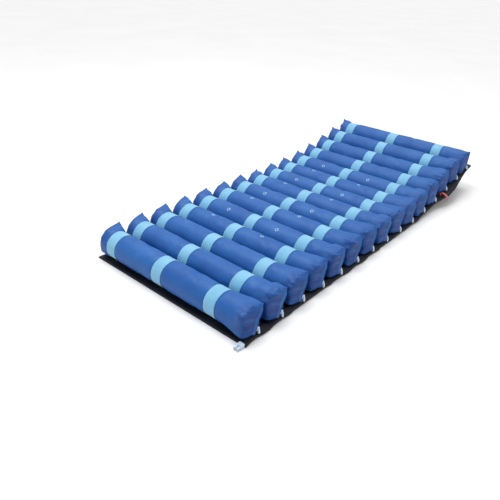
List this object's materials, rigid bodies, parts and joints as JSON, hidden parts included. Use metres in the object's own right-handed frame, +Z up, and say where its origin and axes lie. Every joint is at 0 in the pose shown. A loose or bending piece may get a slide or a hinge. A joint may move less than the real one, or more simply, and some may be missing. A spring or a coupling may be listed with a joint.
{
  "type": "pressure relief mattress",
  "caption": "Alternating pressure relief mattress: transverse air cells in woven loops on a folding base sheet with side air lines and a quick-release tag.",
  "frame": {"origin": "middle of the bounding box's underside, on the surface that the mattress lies on", "axes": "+Z up, +Y along the mattress from foot to head, +X to the side that carries the air lines"},
  "size_m": [0.8766, 2.0228, 0.2327],
  "materials": {
    "cell_fabric": "satin coated weave",
    "band_webbing": "matte webbing",
    "base_fabric": "coated fabric",
    "hose_tubing": "flexible tubing",
    "connector_plastic": "moulded",
    "valve_plastic": "moulded",
    "strap_webbing": "matte webbing"
  },
  "bodies": {
    "section_calf": {"base_sheet_calf": "base_fabric", "air_hoses_calf": "hose_tubing", "cell_connectors_calf": "connector_plastic", "inlet_coupler": "connector_plastic"},
    "cell_01": {"air_cell_01": "cell_fabric", "loop_bands_01": "band_webbing"},
    "cell_02": {"air_cell_02": "cell_fabric", "loop_bands_02": "band_webbing"},
    "cell_03": {"air_cell_03": "cell_fabric", "loop_bands_03": "band_webbing"},
    "section_thigh": {"base_sheet_thigh": "base_fabric", "air_hoses_thigh": "hose_tubing", "cell_connectors_thigh": "connector_plastic"},
    "cell_04": {"air_cell_04": "cell_fabric", "loop_bands_04": "band_webbing"},
    "cell_05": {"air_cell_05": "cell_fabric", "loop_bands_05": "band_webbing"},
    "section_hip": {"base_sheet_hip": "base_fabric", "air_hoses_hip": "hose_tubing", "cell_connectors_hip": "connector_plastic"},
    "cell_06": {"air_cell_06": "cell_fabric", "loop_bands_06": "band_webbing"},
    "section_seat": {"base_sheet_seat": "base_fabric", "air_hoses_seat": "hose_tubing", "cell_connectors_seat": "connector_plastic"},
    "cell_07": {"air_cell_07": "cell_fabric", "loop_bands_07": "band_webbing"},
    "cell_08": {"air_cell_08": "cell_fabric", "loop_bands_08": "band_webbing"},
    "cell_09": {"air_cell_09": "cell_fabric", "loop_bands_09": "band_webbing"},
    "section_lumbar": {"base_sheet_lumbar": "base_fabric", "air_hoses_lumbar": "hose_tubing", "cell_connectors_lumbar": "connector_plastic"},
    "cell_10": {"air_cell_10": "cell_fabric", "loop_bands_10": "band_webbing"},
    "section_waist": {"base_sheet_waist": "base_fabric", "air_hoses_waist": "hose_tubing", "cell_connectors_waist": "connector_plastic"},
    "cell_11": {"air_cell_11": "cell_fabric", "loop_bands_11": "band_webbing"},
    "section_upper_back": {"base_sheet_upper_back": "base_fabric", "air_hoses_upper_back": "hose_tubing", "cell_connectors_upper_back": "connector_plastic"},
    "cell_12": {"air_cell_12": "cell_fabric", "loop_bands_12": "band_webbing"},
    "section_head": {"base_sheet_head": "base_fabric", "air_hoses_head": "hose_tubing", "cell_connectors_head": "connector_plastic", "cpr_valve_housing": "valve_plastic"},
    "cell_13": {"air_cell_13": "cell_fabric", "loop_bands_13": "band_webbing"},
    "cell_14": {"air_cell_14": "cell_fabric", "loop_bands_14": "band_webbing"},
    "cell_15": {"air_cell_15": "cell_fabric", "loop_bands_15": "band_webbing"},
    "cpr_pull": {"cpr_plug": "strap_webbing", "cpr_pull_strap": "strap_webbing"}
  },
  "joints": [
    {"name": "cell_01_deflate", "type": "slide", "parent": "section_calf", "child": "cell_01", "axis": [0, 0, 1], "range_m": [-0.06, 0], "stiffness_N_per_m": 6000, "springref_m": 0.002, "deforming": ["air_cell_01", "loop_bands_01"]},
    {"name": "cell_02_deflate", "type": "slide", "parent": "section_calf", "child": "cell_02", "axis": [0, 0, 1], "range_m": [-0.06, 0], "stiffness_N_per_m": 6000, "springref_m": 0.002, "deforming": ["air_cell_02", "loop_bands_02"]},
    {"name": "cell_03_deflate", "type": "slide", "parent": "section_calf", "child": "cell_03", "axis": [0, 0, 1], "range_m": [-0.06, 0], "stiffness_N_per_m": 6000, "springref_m": 0.002, "deforming": ["air_cell_03", "loop_bands_03"]},
    {"name": "cell_04_deflate", "type": "slide", "parent": "section_thigh", "child": "cell_04", "axis": [0, 0, 1], "range_m": [-0.06, 0], "stiffness_N_per_m": 6000, "springref_m": 0.002, "deforming": ["air_cell_04", "loop_bands_04"]},
    {"name": "cell_05_deflate", "type": "slide", "parent": "section_thigh", "child": "cell_05", "axis": [0, 0, 1], "range_m": [-0.06, 0], "stiffness_N_per_m": 6000, "springref_m": 0.002, "deforming": ["air_cell_05", "loop_bands_05"]},
    {"name": "cell_06_deflate", "type": "slide", "parent": "section_hip", "child": "cell_06", "axis": [0, 0, 1], "range_m": [-0.06, 0], "stiffness_N_per_m": 6000, "springref_m": 0.002, "deforming": ["air_cell_06", "loop_bands_06"]},
    {"name": "odd_cells_deflate", "type": "slide", "parent": "section_seat", "child": "cell_07", "axis": [0, 0, 1], "range_m": [-0.06, 0], "stiffness_N_per_m": 6000, "springref_m": 0.002, "deforming": ["air_cell_07", "loop_bands_07"]},
    {"name": "even_cells_deflate", "type": "slide", "parent": "section_seat", "child": "cell_08", "axis": [0, 0, 1], "range_m": [-0.06, 0], "stiffness_N_per_m": 6000, "springref_m": 0.002, "deforming": ["air_cell_08", "loop_bands_08"]},
    {"name": "cell_09_deflate", "type": "slide", "parent": "section_seat", "child": "cell_09", "axis": [0, 0, 1], "range_m": [-0.06, 0], "stiffness_N_per_m": 6000, "springref_m": 0.002, "deforming": ["air_cell_09", "loop_bands_09"]},
    {"name": "cell_10_deflate", "type": "slide", "parent": "section_lumbar", "child": "cell_10", "axis": [0, -0.0523, 0.9986], "range_m": [-0.06, 0], "stiffness_N_per_m": 6000, "springref_m": 0.002, "deforming": ["air_cell_10", "loop_bands_10"]},
    {"name": "cell_11_deflate", "type": "slide", "parent": "section_waist", "child": "cell_11", "axis": [0, -0.1045, 0.9945], "range_m": [-0.06, 0], "stiffness_N_per_m": 6000, "springref_m": 0.002, "deforming": ["air_cell_11", "loop_bands_11"]},
    {"name": "cell_12_deflate", "type": "slide", "parent": "section_upper_back", "child": "cell_12", "axis": [0, -0.1564, 0.9877], "range_m": [-0.06, 0], "stiffness_N_per_m": 6000, "springref_m": 0.002, "deforming": ["air_cell_12", "loop_bands_12"]},
    {"name": "cell_13_deflate", "type": "slide", "parent": "section_head", "child": "cell_13", "axis": [0, -0.2079, 0.9781], "range_m": [-0.06, 0], "stiffness_N_per_m": 6000, "springref_m": 0.002, "deforming": ["air_cell_13", "loop_bands_13"]},
    {"name": "cell_14_deflate", "type": "slide", "parent": "section_head", "child": "cell_14", "axis": [0, -0.2079, 0.9781], "range_m": [-0.06, 0], "stiffness_N_per_m": 6000, "springref_m": 0.002, "deforming": ["air_cell_14", "loop_bands_14"]},
    {"name": "cell_15_deflate", "type": "slide", "parent": "section_head", "child": "cell_15", "axis": [0, -0.2079, 0.9781], "range_m": [-0.06, 0], "stiffness_N_per_m": 6000, "springref_m": 0.002, "deforming": ["air_cell_15", "loop_bands_15"]},
    {"name": "back_raise", "type": "hinge", "parent": "section_seat", "child": "section_lumbar", "pos_m": [0, 0.22265, 0], "axis": [1, 0, 0], "range_deg": [-3, 9]},
    {"name": "waist_raise", "type": "hinge", "parent": "section_lumbar", "child": "section_waist", "pos_m": [0, 0.3558, 0.00698], "axis": [1, 0, 0], "range_deg": [-3, 9]},
    {"name": "upper_back_raise", "type": "hinge", "parent": "section_waist", "child": "section_upper_back", "pos_m": [0, 0.4884, 0.02091], "axis": [1, 0, 0], "range_deg": [-3, 9]},
    {"name": "head_raise", "type": "hinge", "parent": "section_upper_back", "child": "section_head", "pos_m": [0, 0.62009, 0.04177], "axis": [1, 0, 0], "range_deg": [-3, 9]},
    {"name": "leg_raise", "type": "hinge", "parent": "section_seat", "child": "section_hip", "pos_m": [0, -0.17735, 0], "axis": [-1, 0, 0], "range_deg": [0, 12]},
    {"name": "thigh_raise", "type": "hinge", "parent": "section_hip", "child": "section_thigh", "pos_m": [0, -0.31069, 0], "axis": [-1, 0, 0], "range_deg": [0, 12]},
    {"name": "knee_bend", "type": "hinge", "parent": "section_thigh", "child": "section_calf", "pos_m": [0, -0.57735, 0], "axis": [-1, 0, 0], "range_deg": [-43.8, 0]},
    {"name": "cpr_pull_out", "type": "slide", "parent": "section_head", "child": "cpr_pull", "axis": [1, 0, 0], "range_m": [0, 0.03]}
  ],
  "couplings": [
    {"joint": "cell_01_deflate", "follows": "odd_cells_deflate", "ratio": 1},
    {"joint": "cell_02_deflate", "follows": "even_cells_deflate", "ratio": 1},
    {"joint": "cell_03_deflate", "follows": "odd_cells_deflate", "ratio": 1},
    {"joint": "cell_04_deflate", "follows": "even_cells_deflate", "ratio": 1},
    {"joint": "cell_05_deflate", "follows": "odd_cells_deflate", "ratio": 1},
    {"joint": "cell_06_deflate", "follows": "even_cells_deflate", "ratio": 1},
    {"joint": "cell_09_deflate", "follows": "odd_cells_deflate", "ratio": 1},
    {"joint": "cell_10_deflate", "follows": "even_cells_deflate", "ratio": 1},
    {"joint": "cell_11_deflate", "follows": "odd_cells_deflate", "ratio": 1},
    {"joint": "cell_12_deflate", "follows": "even_cells_deflate", "ratio": 1},
    {"joint": "cell_13_deflate", "follows": "odd_cells_deflate", "ratio": 1},
    {"joint": "cell_14_deflate", "follows": "even_cells_deflate", "ratio": 1},
    {"joint": "cell_15_deflate", "follows": "odd_cells_deflate", "ratio": 1},
    {"joint": "waist_raise", "follows": "back_raise", "ratio": 1},
    {"joint": "upper_back_raise", "follows": "back_raise", "ratio": 1},
    {"joint": "head_raise", "follows": "back_raise", "ratio": 1},
    {"joint": "thigh_raise", "follows": "leg_raise", "ratio": 1},
    {"joint": "knee_bend", "follows": "leg_raise", "ratio": -3.65}
  ]
}
